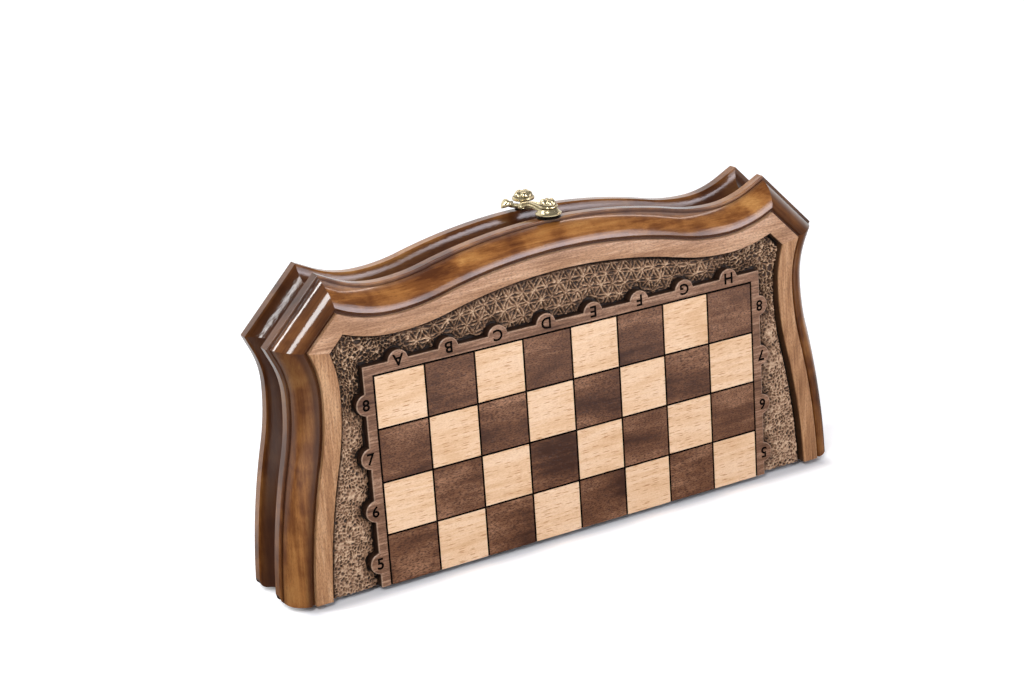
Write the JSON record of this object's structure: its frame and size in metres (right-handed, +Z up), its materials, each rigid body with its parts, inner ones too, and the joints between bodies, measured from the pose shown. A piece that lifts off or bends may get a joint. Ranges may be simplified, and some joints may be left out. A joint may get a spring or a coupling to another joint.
{
  "type": "folding travel chess case",
  "caption": "Carved wooden travel chess case standing closed: two hinged halves with playing squares outside, chessmen in trays inside, and a brass hook latch on top.",
  "frame": {"origin": "middle of the case's footprint at the bottom of the hinge knuckles, on the surface it stands on", "axes": "+X along the top rail, +Y from the front half to the rear half, +Z up from hinge edge to latch"},
  "size_m": [0.299, 0.049, 0.1591],
  "materials": {
    "frame_wood": "gloss varnish",
    "rail_wood": "satin varnish",
    "panel_wood": "satin, flat band over a burnt carved ground",
    "board_wood": "satin",
    "light_squares": "satin beech",
    "dark_squares": "satin walnut stain",
    "tray_felt": "flocked cloth over a thin board",
    "tray_wood": "satin varnish",
    "hinge_brass": "satin",
    "hinge_pin": "plain",
    "hinge_screw": "bright",
    "latch_brass": "antiqued, darkened in the hollows",
    "latch_washer": "blackened",
    "dark_men": "gloss varnish",
    "light_men": "gloss varnish"
  },
  "bodies": {
    "rear_case": {"rear_top_rail": "frame_wood", "rear_left_corner_block": "frame_wood", "rear_right_corner_block": "frame_wood", "rear_left_stile": "frame_wood", "rear_right_stile": "frame_wood", "rear_bottom_rail": "rail_wood", "rear_carved_panel": "panel_wood", "rear_playing_board": "board_wood", "rear_light_squares": "light_squares", "rear_dark_squares": "dark_squares", "rear_tray_base": "tray_felt", "rear_tray_strips": "tray_wood", "rear_hinge_screws": "hinge_screw", "left_hinge_rear_leaf": "hinge_brass", "left_hinge_pin": "hinge_pin", "right_hinge_rear_leaf": "hinge_brass", "right_hinge_pin": "hinge_pin", "latch_catch_washer": "latch_washer", "latch_catch_pin": "latch_brass", "light_king": "light_men", "light_queen": "light_men", "light_queenside_bishop": "light_men", "light_kingside_bishop": "light_men", "light_queenside_knight": "light_men", "light_kingside_knight": "light_men", "light_queenside_rook": "light_men", "light_kingside_rook": "light_men", "light_pawns": "light_men"},
    "front_case": {"front_top_rail": "frame_wood", "front_left_corner_block": "frame_wood", "front_right_corner_block": "frame_wood", "front_left_stile": "frame_wood", "front_right_stile": "frame_wood", "front_bottom_rail": "rail_wood", "front_carved_panel": "panel_wood", "front_playing_board": "board_wood", "front_light_squares": "light_squares", "front_dark_squares": "dark_squares", "front_tray_base": "tray_felt", "front_tray_strips": "tray_wood", "front_hinge_screws": "hinge_screw", "left_hinge_front_leaf": "hinge_brass", "right_hinge_front_leaf": "hinge_brass", "latch_pivot_screw": "latch_brass", "latch_washer": "latch_washer", "dark_king": "dark_men", "dark_queen": "dark_men", "dark_queenside_bishop": "dark_men", "dark_kingside_bishop": "dark_men", "dark_queenside_knight": "dark_men", "dark_kingside_knight": "dark_men", "dark_queenside_rook": "dark_men", "dark_kingside_rook": "dark_men", "dark_pawns": "dark_men"},
    "latch_hook": {"latch_hook": "latch_brass"}
  },
  "joints": [
    {"name": "case_open", "type": "hinge", "parent": "rear_case", "child": "front_case", "pos_m": [0, 0, 0.0015], "axis": [1, 0, 0], "range_deg": [0, 180]},
    {"name": "latch_swing", "type": "hinge", "parent": "front_case", "child": "latch_hook", "pos_m": [0, -0.0111, 0.1518], "axis": [0, 0, 1], "range_deg": [-7, 60]}
  ]
}
